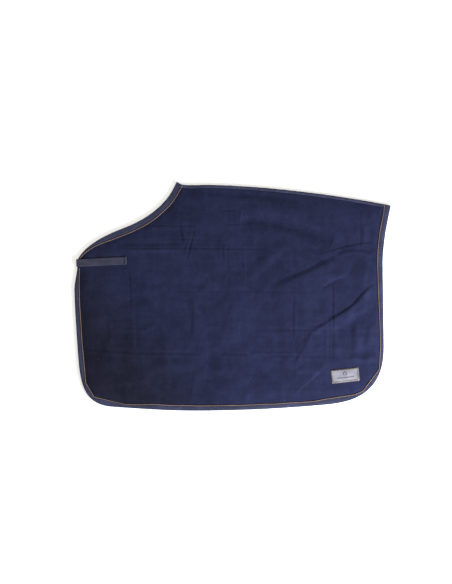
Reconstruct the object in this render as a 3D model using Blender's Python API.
"""Fleece horse rug, folded in half along its spine and laid flat, near side up.

Metres, +Z up.  +X points to the tail, +Y to the spine, and the origin is under the
middle of the rug, on the surface that it lies on.  The off half is the lower one.
"""
import math

import bmesh
import bpy
from mathutils import Vector
from mathutils.geometry import intersect_line_line_2d

# ---------------------------------------------------------------- driving sizes
RUG_LENGTH = 1.583          # chest to dock, over the binding
RUG_DEPTH = 1.1445          # withers to hem, over the binding
CLEARANCE = 0.0003          # between pieces that touch

FLEECE_THICKNESS = 0.0050
INNER_PLAY = 0.0003         # left free between the two halves at their thickest place

BRAID_THICKNESS = 0.0009
PIPING_DIAMETER = 0.0030
PIPING_BITE = 0.0005        # how far the piping stays back from the end of its binding
SPINE_BRAID_WIDTH = 0.0130  # as seen on each half

NECK_REACH = 0.5110         # withers corner to the front, along the rug
NECK_DROP = 0.3910          # withers corner down to the chest
DOCK_DROP = 0.1180          # withers corner down to the dock
NECK_BEND = (0.4716, 0.5946)    # where the neck edge bends, as shares of reach and drop
BREAST_DROP = 0.1450        # chest down to the front edge's foremost place
FRONT_CORNER = (0.1750, 0.2830)
FRONT_CORNER_START = 1.07   # how high the front corner's curve starts, in its own heights
TOE_RISE = 0.0195           # hem above its lowest place, at the front corner
HEM_STRAIGHT = 0.4000       # front corner to the lowest place of the hem
FLANK_RISE = 0.0295         # hem above its lowest place, at the rear corner
REAR_CORNER = (0.2970, 0.2930)
REAR_STEP = (0.0055, 0.2940)    # how far in the rear edge bends, and how far below the dock
CREST_STEP = (0.0305, 0.0145)   # top of the spine behind the withers corner, and below it
CHEST_BULGE = 0.0135        # front edge past the chest point
FRONT_TUCK = 0.0165         # front edge back in above the hem corner
REAR_TUCK = 0.0345          # rear edge in front of the dock
NECK_HEADING = -112         # degrees, down the neck edge from the withers

# Width of the binding out to the middle of its piping, at each landmark.
BAND_WITHERS = 0.0310
BAND_NECK = 0.0330
BAND_CHEST = 0.0060
BAND_FRONT = 0.0225
BAND_FRONT_LOW = 0.0240
BAND_HEM = 0.0240
BAND_HEM_REAR = 0.0210
BAND_REAR_LOW = 0.0150
BAND_REAR = 0.0260
BAND_DOCK = 0.0290

STRAP_LENGTH = 0.2490
STRAP_WIDTH = 0.0380
STRAP_THICKNESS = 0.0016
STRAP_TURN_BACK = 0.0100    # the end folded over and stitched
STRAP_TILT = math.radians(2.8)
STRAP_BELOW_CHEST = 0.0140  # middle of the strap's root below the chest point
ANCHOR_THICKNESS = 0.0012
ANCHOR_OUTER_LEAF = 0.0045
ANCHOR_INNER_LEAF = 0.0500
ANCHOR_OUTSET = 0.0026      # outside of the turn, in front of the chest point
HOOK_LENGTH = 0.1000
HOOK_SIDE_MARGIN = 0.0020
HOOK_END_MARGIN = 0.0120
HOOK_THICKNESS = 0.0012

LOOP_PATCH_LENGTH = 0.1000
LOOP_PATCH_WIDTH = 0.0450
LOOP_PATCH_THICKNESS = 0.0012
LOOP_PATCH_FROM_CHEST = 0.1050

BADGE_LENGTH = 0.1410
BADGE_HEIGHT = 0.0680
BADGE_CORNER = 0.0060
BADGE_TILT = math.radians(6.4)
BADGE_FROM_TAIL = 0.2290
BADGE_ABOVE_HEM = 0.1768
BACKING_THICKNESS = 0.0020
FRAME_MARGIN = 0.0030       # leather showing round the metal frame
FRAME_RIM = 0.0055
FRAME_HEIGHT = 0.0018
PLATE_HEIGHT = 0.0010

LABEL_LENGTH = 0.0450
LABEL_WIDTH = 0.0300
LABEL_THICKNESS = 0.0004
LABEL_FROM_WITHERS = 0.0700  # below the spine, inside the neck

OVERRUN = 0.0020            # how far a cutting shape runs on past the piece it cuts
STEP_TURN = math.radians(6.0)   # most that an outline turns between two points
STEP_LENGTH = 0.15              # longest straight between two points

# ---------------------------------------------------------------- worked out from them
WRAP = BRAID_THICKNESS + CLEARANCE
# Between the fleece of the halves lie the strap's anchor and the off half's braid.
AIR_GAP = CLEARANCE + ANCHOR_THICKNESS + WRAP + INNER_PLAY
# Under the binding the fleece is pressed so flat that the piping is level with the pile.
SEAM_THICKNESS = FLEECE_THICKNESS - PIPING_DIAMETER - CLEARANCE
STACK = 2 * FLEECE_THICKNESS + AIR_GAP          # height of the folded rug
INNER_FACE = (STACK + AIR_GAP) / 2              # near half, the face that touches the horse
SEAM_TOP = INNER_FACE + SEAM_THICKNESS
BRAID_TOP = SEAM_TOP + CLEARANCE + BRAID_THICKNESS
PIPING_RADIUS = PIPING_DIAMETER / 2
PIPING_Z = SEAM_TOP + CLEARANCE + PIPING_RADIUS
NEAR = 1
OFF = -1
SIDES = (("near", NEAR), ("off", OFF))

FRONT_X = -RUG_LENGTH / 2 + WRAP
TAIL_X = RUG_LENGTH / 2 - WRAP
TOP_Y = RUG_DEPTH / 2 + WRAP * math.cos(math.radians(NECK_HEADING))
HEM_Y = -RUG_DEPTH / 2 + WRAP

# Each landmark: place, heading on arrival, heading on leaving (degrees, 0 towards the
# tail, 90 towards the spine) and the binding's width there.  They run round the half
# with the cloth on the left hand.
WITHERS = ((FRONT_X + NECK_REACH, TOP_Y), 155, NECK_HEADING, BAND_WITHERS)
NECK = ((FRONT_X + NECK_BEND[0] * NECK_REACH, TOP_Y - NECK_BEND[1] * NECK_DROP),
        -159, -159, BAND_NECK)
CHEST = ((FRONT_X + CHEST_BULGE, TOP_Y - NECK_DROP), -118, -80, BAND_CHEST)
BREAST = ((FRONT_X, CHEST[0][1] - BREAST_DROP), -90, -90, BAND_FRONT)
FRONT = ((FRONT_X + FRONT_TUCK, HEM_Y + FRONT_CORNER_START * FRONT_CORNER[1]),
         -86, -86, BAND_FRONT_LOW)
TOE = ((FRONT[0][0] + FRONT_CORNER[0], HEM_Y + TOE_RISE), -4, -4, BAND_HEM)
BELLY = ((TOE[0][0] + HEM_STRAIGHT, HEM_Y), 0, 0, BAND_HEM)
FLANK = ((TAIL_X - REAR_TUCK - REAR_CORNER[0], HEM_Y + FLANK_RISE), 5, 5, BAND_HEM_REAR)
HEEL = ((TAIL_X - REAR_TUCK, FLANK[0][1] + REAR_CORNER[1]), 91, 91, BAND_REAR_LOW)
REAR = ((TAIL_X - REAR_TUCK - REAR_STEP[0], TOP_Y - DOCK_DROP - REAR_STEP[1]), 91, 91, BAND_REAR)
DOCK = ((TAIL_X, TOP_Y - DOCK_DROP), 77, 169, BAND_DOCK)
CREST = ((WITHERS[0][0] + CREST_STEP[0], TOP_Y - CREST_STEP[1]), 181, 155, BAND_WITHERS)

# Each stretch: its two landmarks and how far its curve holds each heading, as a share
# of the straight line between them.
NECK_EDGE = [(WITHERS, NECK, 0.46, 0.15), (NECK, CHEST, 0.42, 0.28)]
BODY_EDGE = [
    (CHEST, BREAST, 0.30, 0.30),
    (BREAST, FRONT, 0.20, 0.30),
    (FRONT, TOE, 0.50, 0.45),
    (TOE, BELLY, 0.40, 0.30),
    (BELLY, FLANK, 0.40, 0.30),
    (FLANK, HEEL, 0.30, 0.60),
    (HEEL, REAR, 0.33, 0.33),
    (REAR, DOCK, 0.15, 0.50),
]
SPINE_EDGE = [(DOCK, CREST, 0.33, 0.30)]

COLOURS = {
    "fleece": ((0.024, 0.028, 0.062), 0.95, 0.0),
    "braid": ((0.045, 0.048, 0.078), 0.70, 0.0),
    "piping": ((0.230, 0.115, 0.070), 0.55, 0.0),
    "webbing": ((0.048, 0.050, 0.085), 0.75, 0.0),
    "hook_tape": ((0.015, 0.016, 0.026), 0.80, 0.0),
    "loop_tape": ((0.020, 0.022, 0.038), 0.95, 0.0),
    "leather": ((0.220, 0.175, 0.180), 0.60, 0.0),
    "bright_metal": ((0.550, 0.540, 0.510), 0.30, 1.0),
    "satin_metal": ((0.560, 0.580, 0.680), 0.45, 1.0),
    "label_cloth": ((0.750, 0.750, 0.740), 0.80, 0.0),
}


# ---------------------------------------------------------------- helpers: scene
def clear_scene():
    for obj in list(bpy.data.objects):
        bpy.data.objects.remove(obj, do_unlink=True)


def new_collection(name):
    collection = bpy.data.collections.new(name)
    bpy.context.scene.collection.children.link(collection)
    return collection


def material(name):
    if name in bpy.data.materials:
        return bpy.data.materials[name]
    colour, roughness, metallic = COLOURS[name]
    mat = bpy.data.materials.new(name)
    mat.use_nodes = True
    shader = mat.node_tree.nodes["Principled BSDF"]
    shader.inputs["Base Color"].default_value = (*colour, 1.0)
    shader.inputs["Roughness"].default_value = roughness
    shader.inputs["Metallic"].default_value = metallic
    mat.diffuse_color = (*colour, 1.0)
    return mat


def add_object(name, data, collection, material_name=None):
    obj = bpy.data.objects.new(name, data)
    collection.objects.link(obj)
    if material_name:
        obj.data.materials.append(material(material_name))
    return obj


def as_mesh(curve_object, collection, material_name=None):
    """The same object as a welded mesh, with the curve removed."""
    depsgraph = bpy.context.evaluated_depsgraph_get()
    mesh = bpy.data.meshes.new_from_object(curve_object.evaluated_get(depsgraph))
    name = curve_object.name
    bpy.data.objects.remove(curve_object, do_unlink=True)
    obj = add_object(name, mesh, collection)
    weld(mesh)
    mesh.materials.clear()
    if material_name:
        mesh.materials.append(material(material_name))
    return obj


def weld(mesh):
    work = bmesh.new()
    work.from_mesh(mesh)
    bmesh.ops.remove_doubles(work, verts=work.verts, dist=0.00002)
    bmesh.ops.recalc_face_normals(work, faces=work.faces)
    work.to_mesh(mesh)
    work.free()


def combine(obj, other, operation):
    """Adds a Boolean modifier; the other object becomes a cutter."""
    modifier = obj.modifiers.new(operation.lower() + "_" + other.name, "BOOLEAN")
    modifier.operation = operation
    modifier.solver = "EXACT"
    modifier.object = other
    other.hide_render = True
    other.display_type = "WIRE"


# ---------------------------------------------------------------- helpers: outline
def heading(degrees):
    return Vector((math.cos(math.radians(degrees)), math.sin(math.radians(degrees))))


def smoothstep(t):
    return t * t * (3 - 2 * t)


def stretch_points(start, end, hold_start, hold_end):
    """(point, leftward normal, band width) along one cubic stretch, ends included."""
    a, d = Vector(start[0]), Vector(end[0])
    span = (d - a).length
    b = a + heading(start[2]) * span * hold_start
    c = d - heading(end[1]) * span * hold_end
    turn = sum(abs(u.angle_signed(v)) for u, v in ((b - a, c - b), (c - b, d - c)))
    count = max(math.ceil(turn / STEP_TURN), math.ceil(span / STEP_LENGTH), 2)
    rows = []
    for i in range(count + 1):
        t = i / count
        s = 1 - t
        point = a * s**3 + b * 3 * s * s * t + c * 3 * s * t * t + d * t**3
        slope = (b - a) * s * s + (c - b) * 2 * s * t + (d - c) * t * t
        normal = Vector((-slope.y, slope.x)).normalized()
        width = start[3] + (end[3] - start[3]) * smoothstep(t)
        rows.append((point, normal, width))
    return rows


def edge_points(stretches):
    rows = []
    for stretch in stretches:
        points = stretch_points(*stretch)
        rows += points if not rows else points[1:]
    return rows


def between(rows, start, end):
    """The part of an edge that leaves out the given lengths at its two ends."""
    lengths = [0.0]
    for (p, _, _), (q, _, _) in zip(rows, rows[1:]):
        lengths.append(lengths[-1] + (q - p).length)
    first, last = start, lengths[-1] - end

    def at(distance):
        for i in range(len(rows) - 1):
            if distance <= lengths[i + 1] or i == len(rows) - 2:
                t = (distance - lengths[i]) / (lengths[i + 1] - lengths[i])
                p, n, w = (x.lerp(y, t) if isinstance(x, Vector) else x + (y - x) * t
                           for x, y in zip(rows[i], rows[i + 1]))
                return p, n.normalized(), w

    margin = 0.002
    inside = [r for r, s in zip(rows, lengths) if first + margin < s < last - margin]
    return [at(first)] + inside + [at(last)]


def offset(rows, distance):
    """Points to the left of an edge; distance is taken from each row's width."""
    return [point + normal * distance(width) for point, normal, width in rows]


# ---------------------------------------------------------------- helpers: solids
def levels(side, low, high):
    """Two heights on the near half, or their mirror image on the off half."""
    if side == NEAR:
        return low, high
    return STACK - high, STACK - low


def slab(name, outline, low, high, collection, material_name=None):
    """A flat outline made into a solid between two heights."""
    curve = bpy.data.curves.new(name, "CURVE")
    curve.dimensions = "2D"
    curve.fill_mode = "BOTH"
    curve.extrude = (high - low) / 2
    spline = curve.splines.new("POLY")
    spline.points.add(len(outline) - 1)
    for point, place in zip(spline.points, outline):
        point.co = (place[0], place[1], 0, 1)
    spline.use_cyclic_u = True
    obj = add_object(name, curve, collection)
    obj.location.z = (low + high) / 2
    bpy.context.view_layer.update()
    place = obj.matrix_world.copy()
    solid = as_mesh(obj, collection, material_name)
    solid.data.transform(place)
    return solid


def strip(name, rows, outer, inner, low, high, collection, material_name=None):
    """A band along an edge, from one offset of it to another."""
    outline = offset(rows, outer) + offset(rows, inner)[::-1]
    return slab(name, outline, low, high, collection, material_name)


def tube(name, points, height, radius, collection, material_name):
    curve = bpy.data.curves.new(name, "CURVE")
    curve.dimensions = "3D"
    curve.bevel_depth = radius
    curve.bevel_resolution = 2
    curve.use_fill_caps = True
    spline = curve.splines.new("POLY")
    spline.points.add(len(points) - 1)
    for point, place in zip(spline.points, points):
        point.co = (place.x, place.y, height, 1)
    obj = as_mesh(add_object(name, curve, collection), collection, material_name)
    obj.data.shade_smooth()
    obj.data.set_sharp_from_angle(angle=math.radians(50))
    return obj


def block(name, length, width, low, high, middle, tilt, collection, material_name=None):
    """A flat rectangular piece, turned in its own plane."""
    x, y = length / 2, width / 2
    turn = Vector((math.cos(tilt), math.sin(tilt)))
    across = Vector((-turn.y, turn.x))
    corners = ((-x, -y), (x, -y), (x, y), (-x, y))
    outline = [Vector(middle) + turn * u + across * v for u, v in corners]
    return slab(name, outline, low, high, collection, material_name)


def rounded(name, length, width, corner, low, high, middle, tilt, collection, material_name=None):
    """A flat piece with round corners."""
    turn = Vector((math.cos(tilt), math.sin(tilt)))
    across = Vector((-turn.y, turn.x))
    outline = []
    for quarter, (sx, sy) in enumerate(((1, 1), (-1, 1), (-1, -1), (1, -1))):
        for step in range(4):
            angle = math.radians(90 * quarter + 30 * step)
            u = sx * (length / 2 - corner) + corner * math.cos(angle)
            v = sy * (width / 2 - corner) + corner * math.sin(angle)
            outline.append(Vector(middle) + turn * u + across * v)
    return slab(name, outline, low, high, collection, material_name)


# ---------------------------------------------------------------- the pieces
def meet(line, other):
    """Two polylines joined where the first one crosses the second."""
    for i in range(len(line) - 1, 0, -1):
        for j in range(len(other) - 1):
            place = intersect_line_line_2d(line[i - 1], line[i], other[j], other[j + 1])
            if place:
                return line[:i] + [place], [place] + other[j + 1:]
    raise ValueError("two edges of the fleece don't meet")


def panel(name, side, parts, cutters):
    """One half of the fleece, thinner where binding and spine braid press it."""
    edges = edge_points(NECK_EDGE)[:-1] + edge_points(BODY_EDGE)[:-1] + edge_points(SPINE_EDGE)
    outline = [point for point, _, _ in edges]
    fleece = slab(name, outline, *levels(side, INNER_FACE, SEAM_TOP), parts, "fleece")

    seam = PIPING_RADIUS + CLEARANCE
    neck = offset(edge_points(NECK_EDGE), lambda width: width + seam)
    body = offset(edge_points(BODY_EDGE), lambda width: width + seam)
    spine_rows = lengthened(edge_points(SPINE_EDGE), BAND_WITHERS)
    spine = offset(spine_rows, lambda width: SPINE_BRAID_WIDTH + CLEARANCE)
    neck, body = meet(neck, body)
    body, spine = meet(body, spine)
    spine, neck = meet(spine, neck)
    inside = neck[:-1] + body[:-1] + spine[:-1]
    heights = levels(side, INNER_FACE + SEAM_THICKNESS / 2, INNER_FACE + FLEECE_THICKNESS)
    pile = slab(name + "_pile", inside, *heights, cutters)
    combine(fleece, pile, "UNION")
    return fleece


def binding(name, side, rows, parts, cutters):
    """Braid folded over the edge, its outer leaf ending at the piping."""
    inner = lambda width: width - PIPING_RADIUS - CLEARANCE
    braid = strip(name, rows, lambda width: -WRAP, inner,
                  *levels(side, INNER_FACE - WRAP, BRAID_TOP), parts, "braid")
    slot = strip(name + "_slot", lengthened(rows, OVERRUN), lambda width: -CLEARANCE,
                 lambda width: width + PIPING_RADIUS,
                 *levels(side, INNER_FACE - CLEARANCE, SEAM_TOP + CLEARANCE), cutters)
    combine(braid, slot, "DIFFERENCE")
    return braid


def lengthened(rows, extra):
    """The same edge, run on a little past both ends."""
    (p, n, w), (q, m, v) = rows[0], rows[-1]
    back = Vector((-n.y, n.x)) * extra
    onward = Vector((m.y, -m.x)) * extra
    return [(p + back, n, w)] + rows + [(q + onward, m, v)]


def spine_braid(name, side, rows, parts, cutters):
    """Half of the braid over the fold: a leaf on the fleece and a lip down to the fold."""
    braid = strip(name, rows, lambda width: -WRAP, lambda width: SPINE_BRAID_WIDTH,
                  *levels(side, (STACK + CLEARANCE) / 2, BRAID_TOP), parts, "braid")
    slot = strip(name + "_slot", lengthened(rows, OVERRUN), lambda width: -CLEARANCE,
                 lambda width: SPINE_BRAID_WIDTH * 2,
                 *levels(side, 0, SEAM_TOP + CLEARANCE), cutters)
    combine(braid, slot, "DIFFERENCE")
    return braid


def half(label, side, parts, cutters):
    """The fleece half with its bindings, pipings and spine braid."""
    neck = between(edge_points(NECK_EDGE), 0.0, anchor_room_neck())
    body = between(edge_points(BODY_EDGE), anchor_room_body(), 0.0)
    spine = between(edge_points(SPINE_EDGE), BAND_DOCK + PIPING_DIAMETER, CLEARANCE)
    fleece = panel(label + "_panel", side, parts, cutters)
    binding(label + "_neck_binding", side, neck, parts, cutters)
    binding(label + "_body_binding", side, body, parts, cutters)
    for part, rows in (("neck", neck), ("body", body)):
        seam = between(rows, PIPING_BITE, PIPING_BITE)
        height = levels(side, PIPING_Z, PIPING_Z)[0]
        tube(label + "_" + part + "_piping", offset(seam, lambda width: width), height,
             PIPING_RADIUS, parts, "piping")
    spine_braid(label + "_spine_braid", side, spine, parts, cutters)
    return fleece


def anchor_room_neck():
    """Length of neck edge that the strap's anchor takes at the chest."""
    return STRAP_WIDTH / 2 - STRAP_BELOW_CHEST + BAND_CHEST + PIPING_DIAMETER


def anchor_room_body():
    """Length of front edge that the strap's anchor takes below the chest."""
    return STRAP_WIDTH / 2 + STRAP_BELOW_CHEST + PIPING_DIAMETER


def strap_root():
    """Middle of the strap where it turns round the front edge."""
    return Vector((CHEST[0][0] - ANCHOR_OUTSET, CHEST[0][1] - STRAP_BELOW_CHEST))


def along_strap(distance):
    return strap_root() + Vector((math.cos(STRAP_TILT), math.sin(STRAP_TILT))) * distance


def strap_anchor(parts, cutters):
    """Webbing stitched round the near front edge; the strap turns back from it."""
    low = INNER_FACE - CLEARANCE - ANCHOR_THICKNESS
    high = SEAM_TOP + CLEARANCE + ANCHOR_THICKNESS
    anchor = block("strap_anchor", ANCHOR_INNER_LEAF, STRAP_WIDTH, low, high,
                   along_strap(ANCHOR_INNER_LEAF / 2), STRAP_TILT, parts, "webbing")
    slot_length = ANCHOR_INNER_LEAF
    slot = block("strap_anchor_slot", slot_length, 2 * STRAP_WIDTH,
                 INNER_FACE - CLEARANCE, SEAM_TOP + CLEARANCE,
                 along_strap(ANCHOR_THICKNESS + slot_length / 2), STRAP_TILT, cutters)
    combine(anchor, slot, "DIFFERENCE")
    short = ANCHOR_INNER_LEAF - ANCHOR_OUTER_LEAF
    trim = block("strap_anchor_trim", 2 * short, 2 * STRAP_WIDTH, SEAM_TOP, 2 * high,
                 along_strap(ANCHOR_OUTER_LEAF + short), STRAP_TILT, cutters)
    combine(anchor, trim, "DIFFERENCE")
    return anchor


def chest_strap(parts, cutters):
    """The strap laid back over the near side, with its end turned over."""
    hook_low = STACK + CLEARANCE
    low = hook_low + HOOK_THICKNESS + CLEARANCE
    high = low + STRAP_THICKNESS
    start = CLEARANCE / 2
    strap = block("chest_strap_webbing", STRAP_LENGTH, STRAP_WIDTH, low, high,
                  along_strap(start + STRAP_LENGTH / 2), STRAP_TILT, parts, "webbing")
    end = start + STRAP_LENGTH
    turned = block("chest_strap_turn_back", STRAP_TURN_BACK, STRAP_WIDTH, low,
                   high + STRAP_THICKNESS, along_strap(end - STRAP_TURN_BACK / 2),
                   STRAP_TILT, cutters)
    combine(strap, turned, "UNION")
    block("chest_strap_hook_tape", HOOK_LENGTH, STRAP_WIDTH - 2 * HOOK_SIDE_MARGIN,
          hook_low, hook_low + HOOK_THICKNESS,
          along_strap(end - HOOK_END_MARGIN - HOOK_LENGTH / 2), STRAP_TILT, parts, "hook_tape")
    return strap


def loop_patch(off_fleece, parts, cutters):
    """Loop tape let into the off side's outer face, for the strap's hook tape."""
    middle = along_strap(LOOP_PATCH_FROM_CHEST)
    block("off_loop_patch", LOOP_PATCH_LENGTH, LOOP_PATCH_WIDTH, 0, LOOP_PATCH_THICKNESS,
          middle, STRAP_TILT, parts, "loop_tape")
    pocket = block("off_loop_patch_pocket", LOOP_PATCH_LENGTH + 2 * CLEARANCE,
                   LOOP_PATCH_WIDTH + 2 * CLEARANCE, -FLEECE_THICKNESS,
                   LOOP_PATCH_THICKNESS + CLEARANCE, middle, STRAP_TILT, cutters)
    combine(off_fleece, pocket, "DIFFERENCE")


def badge(parts, cutters):
    """Leather backing, bright frame and satin plate, low on the near hindquarter."""
    middle = Vector((TAIL_X + WRAP - BADGE_FROM_TAIL, HEM_Y - WRAP + BADGE_ABOVE_HEM))
    low = STACK + CLEARANCE
    rounded("badge_backing", BADGE_LENGTH, BADGE_HEIGHT, BADGE_CORNER, low,
            low + BACKING_THICKNESS, middle, BADGE_TILT, parts, "leather")
    low += BACKING_THICKNESS + CLEARANCE
    length, height = BADGE_LENGTH - 2 * FRAME_MARGIN, BADGE_HEIGHT - 2 * FRAME_MARGIN
    frame = rounded("badge_frame", length, height, BADGE_CORNER, low, low + FRAME_HEIGHT,
                    middle, BADGE_TILT, parts, "bright_metal")
    window = rounded("badge_window", length - 2 * FRAME_RIM, height - 2 * FRAME_RIM,
                     BADGE_CORNER / 2, low - FRAME_HEIGHT, low + 2 * FRAME_HEIGHT, middle,
                     BADGE_TILT, cutters)
    combine(frame, window, "DIFFERENCE")
    rim = FRAME_RIM + CLEARANCE
    rounded("badge_plate", length - 2 * rim, height - 2 * rim, BADGE_CORNER / 2, low,
            low + PLATE_HEIGHT, middle, BADGE_TILT, parts, "satin_metal")


def care_label(parts):
    """Blank cloth label inside the near half, under the withers."""
    middle = Vector(WITHERS[0]) + Vector((LABEL_FROM_WITHERS, -LABEL_FROM_WITHERS))
    high = INNER_FACE - CLEARANCE
    block("care_label", LABEL_WIDTH, LABEL_LENGTH, high - LABEL_THICKNESS, high, middle, 0,
          parts, "label_cloth")


def main():
    clear_scene()
    parts = new_collection("fleece_horse_rug")
    cutters = new_collection("cutters")
    fleece = {label: half(label, side, parts, cutters) for label, side in SIDES}
    strap_anchor(parts, cutters)
    chest_strap(parts, cutters)
    loop_patch(fleece["off"], parts, cutters)
    badge(parts, cutters)
    care_label(parts)


main()
